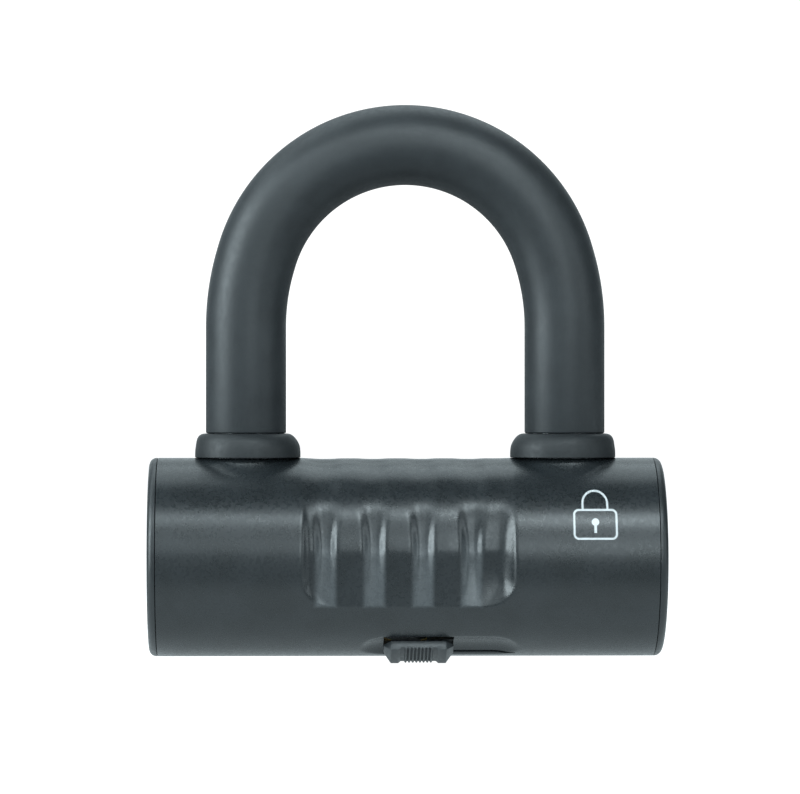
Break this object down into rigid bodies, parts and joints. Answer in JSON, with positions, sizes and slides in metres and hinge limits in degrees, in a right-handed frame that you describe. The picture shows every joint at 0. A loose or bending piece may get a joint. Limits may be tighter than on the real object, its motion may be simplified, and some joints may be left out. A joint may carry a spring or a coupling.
{
  "type": "u lock",
  "caption": "Mini U-lock: a coated steel shackle over a round crossbar with finger grooves, a disc-detainer core, sliding bolts and a ribbed keyhole shutter.",
  "frame": {"origin": "middle of the crossbar's axis", "axes": "+X along the crossbar towards the end to which the keyhole shutter slides, +Z from the crossbar up through the shackle, -Y the side that the keyhole is tilted to"},
  "size_m": [0.1134, 0.044, 0.1237],
  "materials": {
    "steel": "zinc-plated hardened steel",
    "dark_steel": "blackened steel",
    "brass": "turned brass",
    "vinyl": "satin vinyl coat",
    "cover": "satin fine-grained moulding",
    "cap": "satin moulding",
    "rubber": "dull black rubber",
    "shutter": "satin moulding"
  },
  "bodies": {
    "crossbar": {"crossbar_tube": "dark_steel", "crossbar_cover": "cover", "left_end_cap": "cap", "right_end_cap": "cap", "left_end_plug": "steel", "right_end_plug": "steel", "left_collar": "rubber", "right_collar": "rubber", "left_leg_guide": "dark_steel", "right_leg_guide": "dark_steel", "left_bolt_guide": "dark_steel", "right_bolt_guide": "dark_steel", "core_housing": "brass", "barrel_circlip": "steel", "retaining_pins": "steel"},
    "shackle": {"shackle_core": "steel", "shackle_coat": "vinyl"},
    "key_barrel": {"disc_barrel": "brass", "guard_disc": "steel", "disc_1": "brass", "disc_2": "brass", "disc_3": "brass", "disc_4": "brass", "disc_5": "brass", "disc_6": "brass", "disc_spacers": "steel", "sidebar": "steel", "drive_cam": "steel"},
    "left_bolt": {"left_bolt": "steel"},
    "right_bolt": {"right_bolt": "steel"},
    "shutter": {"keyhole_shutter": "shutter"}
  },
  "joints": [
    {"name": "shackle_lift", "type": "slide", "parent": "crossbar", "child": "shackle", "axis": [0, 0, 1], "range_m": [0, 0.042]},
    {"name": "key_turn", "type": "hinge", "parent": "crossbar", "child": "key_barrel", "pos_m": [0, 0, 0], "axis": [0, 0.454, 0.891], "range_deg": [0, 90]},
    {"name": "left_bolt_throw", "type": "slide", "parent": "crossbar", "child": "left_bolt", "axis": [-1, 0, 0], "range_m": [0, 0.00566]},
    {"name": "right_bolt_throw", "type": "slide", "parent": "crossbar", "child": "right_bolt", "axis": [1, 0, 0], "range_m": [0, 0.00566]},
    {"name": "shutter_slide", "type": "slide", "parent": "crossbar", "child": "shutter", "axis": [1, 0, 0], "range_m": [0, 0.013]}
  ],
  "couplings": [
    {"joint": "key_turn", "follows": "left_bolt_throw", "rad_per_m": 277.67},
    {"joint": "right_bolt_throw", "follows": "left_bolt_throw", "ratio": 1}
  ]
}
